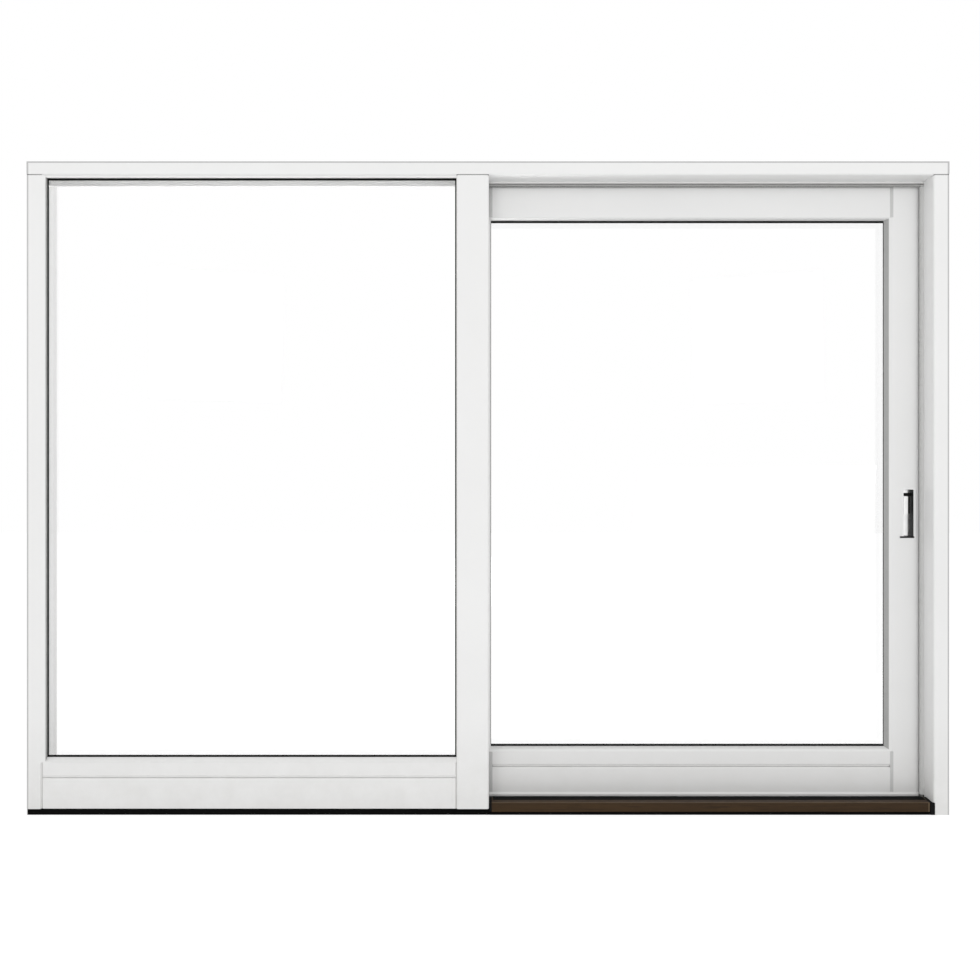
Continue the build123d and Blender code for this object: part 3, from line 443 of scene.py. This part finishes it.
def joinedPiece(name, meshes, body, slot, finish=None):
    joined = bmesh.new()
    for mesh in meshes:
        joined.from_mesh(mesh)
    whole = builtMesh(joined, name)
    whole.materials.append(finishes[finish or slot])
    piece = bpy.data.objects.new(name, whole)
    scene.collection.objects.link(piece)
    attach(piece, body)


def placed(mesh, place, across, out):
    # local X runs along across, local Z points along out
    side, normal = Vector(across), Vector(out)
    turn = Matrix((side, normal.cross(side), normal)).transposed().to_4x4()
    mesh.transform(Matrix.Translation(place) @ turn)
    return mesh


# Brush pile that stands out of the grey seals' front and tip
sealPile = {
    "step": 0.0013,  # from tuft to tuft
    "tuftWidth": 0.0011,
    "tuftTip": 0.0002,
    "tuftLength": 0.0085,
    "tuftSides": 4,
    "tuftScale": (0.85, 1.12),
    "scaleSeed": 11,
    "lean": 0.16,  # radians, either way
    "spin": 3.0,  # radians round its own length
    "turnSeed": 7,
    "rows": ((-0.0242, 0.0), (-0.0215, 0.0004)),  # depth, and how much further out it stands
    "headTip": 2.0298,
    "headStart": 0.005,
    "headEndGap": 0.020,
    "jambTip": 1.4090,
    "jambStart": 0.045,
    "jambLength": 1.985,
}


def sealPileTree():
    tree, given = newTree("sealPile", ("length", "step", "tuftWidth", "tuftLength", "lean"))
    count = computed(tree, "DIVIDE", given["length"], given["step"])
    row = addNode(tree, "GeometryNodeMeshLine", {
        "Count": count, "Offset": vectorOf(tree, X=given["step"]),
    }, mode="OFFSET")
    tuft = addNode(tree, "GeometryNodeMeshCone", {
        "Vertices": sealPile["tuftSides"],
        "Radius Top": sealPile["tuftTip"],
        "Radius Bottom": given["tuftWidth"],
        "Depth": given["tuftLength"],
    }, fill_type="NGON")
    leanBack = computed(tree, "MULTIPLY", given["lean"], -1.0)
    turn = addNode(tree, "FunctionNodeRandomValue", {
        "Min": vectorOf(tree, X=leanBack, Y=leanBack, Z=0.0),
        "Max": vectorOf(tree, X=given["lean"], Y=given["lean"], Z=sealPile["spin"]),
        "Seed": sealPile["turnSeed"],
    }, data_type="FLOAT_VECTOR")
    least, most = sealPile["tuftScale"]
    size = addNode(tree, "FunctionNodeRandomValue", {
        "Min": least, "Max": most, "Seed": sealPile["scaleSeed"],
    }, data_type="FLOAT")
    tufts = addNode(tree, "GeometryNodeInstanceOnPoints", {
        "Points": row.outputs[0],
        "Instance": tuft.outputs[0],
        "Rotation": turn.outputs[0],
        "Scale": size.outputs[1],
    })
    closeTree(tree, tufts.outputs[0], given["finish"])
    return tree


def addSealPile():
    tree = sealPileTree()
    finish = finishes["grey_seal"]
    sizes = {name: sealPile[name] for name in ("step", "tuftWidth", "tuftLength", "lean")}
    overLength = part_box("doorway_seals")[1].x - sealPile["headEndGap"]
    meshes = []
    for depth, further in sealPile["rows"]:
        root = sealPile["tuftLength"] - further
        over = grownMesh(tree, {"length": overLength, **sizes}, finish)
        place = (sealPile["headStart"], depth, sealPile["headTip"] + root)
        meshes.append(placed(over, place, (1, 0, 0), (0, 0, -1)))
        beside = grownMesh(tree, {"length": sealPile["jambLength"], **sizes}, finish)
        place = (sealPile["jambTip"] + root, depth, sealPile["jambStart"])
        meshes.append(placed(beside, place, (0, 0, 1), (-1, 0, 0)))
    joinedPiece("seal_pile", meshes, "frame", "grey_seal")


# Ribbed strip let into the top of the doorway's tread
treadStrip = {
    "left": 0.016,
    "right": 1.410,
    "back": -0.041,
    "backHeight": 0.04138,
    "slope": math.atan(3 / 52),  # the tread falls 3 mm in 52
    "webShare": 0.5,  # the web's thickness, as a share of a rib's height
    "webDrop": 0.0002,
    "ribs": 9.0,
    "pitch": 0.003,
    "ribWidth": 0.0019,
    "ribHeight": 0.0014,
}


def treadStripTree():
    tree, given = newTree("treadStrip", ("length", "ribs", "pitch", "ribWidth", "ribHeight"))
    ribSize = vectorOf(tree, X=given["length"], Y=given["ribWidth"], Z=given["ribHeight"])
    rib = addNode(tree, "GeometryNodeMeshCube", {"Size": ribSize})
    row = addNode(tree, "GeometryNodeMeshLine", {
        "Count": given["ribs"], "Offset": vectorOf(tree, Y=given["pitch"]),
    }, mode="OFFSET")
    ribs = addNode(tree, "GeometryNodeInstanceOnPoints", {
        "Points": row.outputs[0], "Instance": rib.outputs[0],
    })
    width = computed(tree, "MULTIPLY", given["ribs"], given["pitch"])
    thickness = computed(tree, "MULTIPLY", given["ribHeight"], treadStrip["webShare"])
    webSize = vectorOf(tree, X=given["length"], Y=width, Z=thickness)
    web = addNode(tree, "GeometryNodeMeshCube", {"Size": webSize})
    shift = vectorOf(tree, Y=computed(tree, "MULTIPLY", width, 0.5), Z=-treadStrip["webDrop"])
    under = addNode(tree, "GeometryNodeTransform", {"Geometry": web.outputs[0], "Translation": shift})
    closeTree(tree, joinedGeometry(tree, ribs, under), given["finish"])
    return tree


def addTreadStrip():
    length = treadStrip["right"] - treadStrip["left"]
    sizes = {name: treadStrip[name] for name in ("ribs", "pitch", "ribWidth", "ribHeight")}
    mesh = grownMesh(treadStripTree(), {"length": length, **sizes}, finishes["black_rubber"])
    mesh.transform(Matrix.Rotation(math.pi, 4, "Z"))  # the ribs count towards the outside
    place = Vector((treadStrip["left"] + length / 2, treadStrip["back"], treadStrip["backHeight"]))
    mesh.transform(Matrix.Translation(place) @ Matrix.Rotation(treadStrip["slope"], 4, "X"))
    joinedPiece("tread_strip", [mesh], "frame", "black_rubber")


# Screws with a six-pointed recess: plates on the sash and the frame, and the frame's own fixings
screwSettings = {
    "plateScrew": {"radius": 0.0036, "height": 0.0007, "driver": 0.0019},
    "frameScrew": {"radius": 0.0062, "height": 0.0016, "driver": 0.0030},
}
screwRows = {  # kind, across, depth, heights, and the way the heads face
    "frame": (
        ("plateScrew", 1.4220, 0.028, (0.8585, 1.0685), (-1, 0, 0)),
        ("frameScrew", -1.4600, 0.028, (0.2, 0.75, 1.3, 1.85), (1, 0, 0)),
        ("frameScrew", 1.4250, 0.028, (0.2, 0.75, 1.3, 1.85), (-1, 0, 0)),
    ),
    "sash": (
        ("plateScrew", 1.4160, 0.028, (0.8585, 1.0685), (1, 0, 0)),
        ("plateScrew", 1.3680, 0.073, (0.8685, 1.0585), (0, 1, 0)),
    ),
}
screwSegments = 28
driverWaist = 0.68  # the recess's inner radius, as a share of its outer one
headTaper = (0.84, 0.84, 1.0)


def screwTree():
    tree, given = newTree("screwHead", ("radius", "height", "driver"))
    rim = addNode(tree, "GeometryNodeCurvePrimitiveCircle", {
        "Resolution": screwSegments, "Radius": given["radius"],
    }, mode="RADIUS")
    waist = computed(tree, "MULTIPLY", given["driver"], driverWaist)
    star = addNode(tree, "GeometryNodeCurveStar", {
        "Points": 6, "Inner Radius": waist, "Outer Radius": given["driver"],
    })
    disc = addNode(tree, "GeometryNodeFillCurve", {"Curve": joinedGeometry(tree, rim, star)})
    raised = addNode(tree, "GeometryNodeExtrudeMesh", {
        "Mesh": disc.outputs[0], "Offset Scale": given["height"], "Individual": False,
    }, mode="FACES")
    point = addNode(tree, "GeometryNodeInputPosition").outputs[0]
    narrow = addNode(tree, "ShaderNodeVectorMath", {0: point, 1: headTaper}, operation="MULTIPLY")
    tapered = addNode(tree, "GeometryNodeSetPosition", {
        "Geometry": raised.outputs["Mesh"],
        "Selection": raised.outputs["Top"],
        "Position": narrow.outputs[0],
    })
    closeTree(tree, tapered.outputs[0], given["finish"])
    return tree


def addScrews():
    tree = screwTree()
    for body, rows in screwRows.items():
        meshes = []
        for kind, across, depth, heights, out in rows:
            for height in heights:
                head = grownMesh(tree, screwSettings[kind], finishes["brushed_metal"])
                meshes.append(placed(head, (across, depth, height), (0, 0, 1), out))
        joinedPiece(body + "_screws", meshes, body, "brushed_metal")


# Rounded lips of the glazing gaskets, round the outside of each pane
gasketLip = {
    "radius": 0.0013,
    "corner": 0.002,
    "sides": 8,
    "fixed": {"x": (-1.4125, -0.1045), "z": (0.1865, 2.0347), "depth": -0.0788, "body": "frame"},
    "sliding": {"x": (0.0087, 1.3073), "z": (0.199, 1.9215), "depth": 0.0102, "body": "sash"},
}


def gasketLipTree():
    tree, given = newTree("gasketLip", ("width", "height", "radius", "corner"))
    outline = addNode(tree, "GeometryNodeCurvePrimitiveQuadrilateral", {
        "Width": given["width"], "Height": given["height"],
    }, mode="RECTANGLE")
    eased = addNode(tree, "GeometryNodeFilletCurve", {"Curve": outline.outputs[0], "Radius": given["corner"]})
    section = addNode(tree, "GeometryNodeCurvePrimitiveCircle", {
        "Resolution": gasketLip["sides"], "Radius": given["radius"],
    }, mode="RADIUS")
    lip = addNode(tree, "GeometryNodeCurveToMesh", {
        "Curve": eased.outputs[0], "Profile Curve": section.outputs[0],
    })
    smooth = addNode(tree, "GeometryNodeSetShadeSmooth", {"Geometry": lip.outputs[0]})
    closeTree(tree, smooth.outputs[0], given["finish"])
    return tree


def addGasketLips():
    tree = gasketLipTree()
    for name in ("fixed", "sliding"):
        light = gasketLip[name]
        (left, right), (bottom, top) = light["x"], light["z"]
        sizes = {
            "width": right - left,
            "height": top - bottom,
            "radius": gasketLip["radius"],
            "corner": gasketLip["corner"],
        }
        mesh = grownMesh(tree, sizes, finishes["black_rubber"])
        placed(mesh, ((left + right) / 2, light["depth"], (bottom + top) / 2), (1, 0, 0), (0, -1, 0))
        joinedPiece(name + "_gasket_lip", [mesh], light["body"], "black_rubber")


# Grey strips beside the glass that are painted shade: on the lock stile's bevel and on the left jamb's reveal
wedgeStrips = {
    "sash": {
        "front": (1.3180, -0.0050, 0.18585, 1.93135),  # across, depth, bottom, top
        "back": (1.3070, 0.0098, 0.1930, 1.9275),
        "thickness": (-0.0005, -0.0004, 0.0),
    },
    "frame": {
        "front": (-1.4158, -0.0905, 0.1706, 2.0395),
        "back": (-1.4158, -0.0792, 0.1815, 2.0395),
        "thickness": (0.0006, 0.0, 0.0),
    },
}


def addWedgeStrips():
    for body, strip in wedgeStrips.items():
        built = bmesh.new()
        corners = []
        for across, depth, bottom, top in (strip["front"], strip["back"]):
            corners += [Vector((across, depth, bottom)), Vector((across, depth, top))]
        lifts = (Vector(), Vector(strip["thickness"]))
        under, over = [[built.verts.new(corner + lift) for corner in corners] for lift in lifts]
        for layer in (under, over):
            built.faces.new((layer[0], layer[1], layer[3], layer[2]))
        for first, second in ((0, 1), (1, 3), (3, 2), (2, 0)):
            built.faces.new((under[first], under[second], over[second], over[first]))
        bmesh.ops.recalc_face_normals(built, faces=built.faces)
        joinedPiece(body + "_wedge_strip", [builtMesh(built, "wedge")], body, "grey_spacer", "wedge_grey")


# Small black strips: gaskets in the joints under the head, the tread's foot and end, and under the pull's
# opening a black strip of painted shadow
blackStrips = {
    "leftJamb": {"low": (-1.4742, -0.0938, 2.0459), "high": (-1.4270, -0.0890, 2.0474)},
    "mullion": {"low": (-0.1005, -0.0938, 2.0459), "high": (0.0025, -0.0890, 2.0474)},
    "rightJamb": {"low": (1.4255, -0.0938, 2.0459), "high": (1.4742, -0.0890, 2.0474)},
    "kickFoot": {"low": (0.0035, -0.0940, 0.0), "high": (1.4245, -0.0885, 0.0030)},
    "treadEnd": {"low": (1.4150, -0.0954, 0.0), "high": (1.4286, -0.0900, 0.0386)},
}
stripBevel = 0.0003
# a black strip of painted shadow under the pull's opening
pullShadowStrip = {"low": (1.3525, -0.0107, 0.8812), "high": (1.3992, -0.0096, 0.8868)}
railJointShadeStrips = {  # grey strips over the ends of the sash's rails: painted shade beside the mullion and in the rail and stile joints
    "leftHigh": {"low": (0.0000, -0.0084, 1.9350), "high": (0.0145, -0.0077, 2.0340)},
    "leftLow": {"low": (0.0000, -0.0084, 0.0475), "high": (0.0145, -0.0077, 0.1790)},
    "rightHigh": {"low": (1.3208, -0.0084, 1.9350), "high": (1.3316, -0.0077, 2.0340)},
    "rightLow": {"low": (1.3208, -0.0084, 0.0475), "high": (1.3316, -0.0077, 0.1790)},
}


def stripPiece(name, strips, body, slot, finish=None):
    built = bmesh.new()
    for strip in strips:
        low, high = Vector(strip["low"]), Vector(strip["high"])
        size = Matrix.Diagonal((*(high - low), 1))
        bmesh.ops.create_cube(built, size=1.0, matrix=Matrix.Translation((low + high) / 2) @ size)
    bmesh.ops.bevel(built, geom=built.edges[:], offset=stripBevel, segments=1, affect="EDGES")
    joinedPiece(name, [builtMesh(built, "strips")], body, slot, finish)


addSealPile()
print("stage: seal pile")
addTreadStrip()
addScrews()
addGasketLips()
addWedgeStrips()
stripPiece("black_strips", blackStrips.values(), "frame", "black_rubber")
stripPiece("pull_shadow_strip", [pullShadowStrip], "sash", "black_cup")
# grey strips that are painted shade at the ends of the sash's rails
stripPiece("rail_joint_shade_strips", railJointShadeStrips.values(), "sash", "grey_spacer", "joint_shade_grey")
print("stage: tread strip, screws, gasket lips, wedge strips and joint strips")


# Surroundings: a white floor that keeps a soft shadow, and a white sky for camera, mirror and glass rays
stageSettings = {
    "floorSize": 40.0,
    "floorWhite": 0.9,
    "floorGlow": 1.19,  # bright enough that the unshaded floor is white to the horizon
    "glowShare": 0.7,
    "skyLight": 0.79,
}


def seenRays(tree):
    path = addNode(tree, "ShaderNodeLightPath").outputs
    mirrored = computed(tree, "MAXIMUM", path["Is Camera Ray"], path["Is Glossy Ray"])
    return computed(tree, "MAXIMUM", mirrored, path["Is Transmission Ray"])


def makeFloor():
    half = stageSettings["floorSize"] / 2
    mesh = bpy.data.meshes.new("floor")
    corners = [(-half, -half, 0), (half, -half, 0), (half, half, 0), (-half, half, 0)]
    mesh.from_pydata(corners, [], [(0, 1, 2, 3)])
    floor = bpy.data.objects.new("floor", mesh)
    scene.collection.objects.link(floor)
    material, tree, output = newMaterial("floorWhite")
    white = stageSettings["floorWhite"]
    diffuse = addNode(tree, "ShaderNodeBsdfDiffuse", {"Color": (white, white, white, 1)})
    glow = addNode(tree, "ShaderNodeEmission", {
        "Color": (1, 1, 1, 1), "Strength": stageSettings["floorGlow"],
    })
    share = computed(tree, "MULTIPLY", seenRays(tree), stageSettings["glowShare"])
    mix = addNode(tree, "ShaderNodeMixShader", {"Fac": share, 1: diffuse.outputs[0], 2: glow.outputs[0]})
    tree.links.new(mix.outputs[0], output.inputs["Surface"])
    mesh.materials.append(material)


def makeSky():
    world = bpy.data.worlds.new("studio")
    scene.world = world
    world.use_nodes = True
    tree = world.node_tree
    tree.nodes.clear()
    output = tree.nodes.new("ShaderNodeOutputWorld")
    strength = ranged(tree, seenRays(tree), stageSettings["skyLight"], 1.0, 0.0, 1.0)
    sky = addNode(tree, "ShaderNodeBackground", {"Color": (1, 1, 1, 1), "Strength": strength})
    tree.links.new(sky.outputs[0], output.inputs["Surface"])


def makeLamp(name, place, aim, size, power, spread=180.0):
    data = bpy.data.lights.new(name, "AREA")
    data.shape = "RECTANGLE"
    data.size, data.size_y = size
    data.energy = power
    data.spread = math.radians(spread)
    lamp = bpy.data.objects.new(name, data)
    lamp.location = place
    lamp.rotation_euler = (Vector(aim) - Vector(place)).to_track_quat("-Z", "Y").to_euler()
    scene.collection.objects.link(lamp)


makeFloor()
makeSky()
lampSettings = {  # metres, watts and degrees
    "keyLeft": {"place": (-2.6, -6.2, 2.5), "aim": (-0.2, 0, 1.1), "size": (1.2, 1.2), "power": 36.0},
    "keyRight": {"place": (2.6, -6.2, 2.5), "aim": (0.2, 0, 1.1), "size": (1.2, 1.2), "power": 36.0},
    "lowFill": {"place": (-0.2, -4.6, 0.3), "aim": (-0.2, 0, 2.0), "size": (2.4, 0.4), "power": 8.0},
    "roomFill": {"place": (1.6, 3.0, 0.6), "aim": (-0.7, 0, 1.5), "size": (1.6, 1.2), "power": 14.0},
    "headWash": {"place": (-0.7, 1.0, 0.3), "aim": (-0.7, 0.03, 2.068), "size": (1.5, 0.4), "power": 4.0,
                 "spread": 50.0},
}
for lampName, settings in lampSettings.items():
    makeLamp(lampName, **settings)
print("stage: floor, sky and lamps")
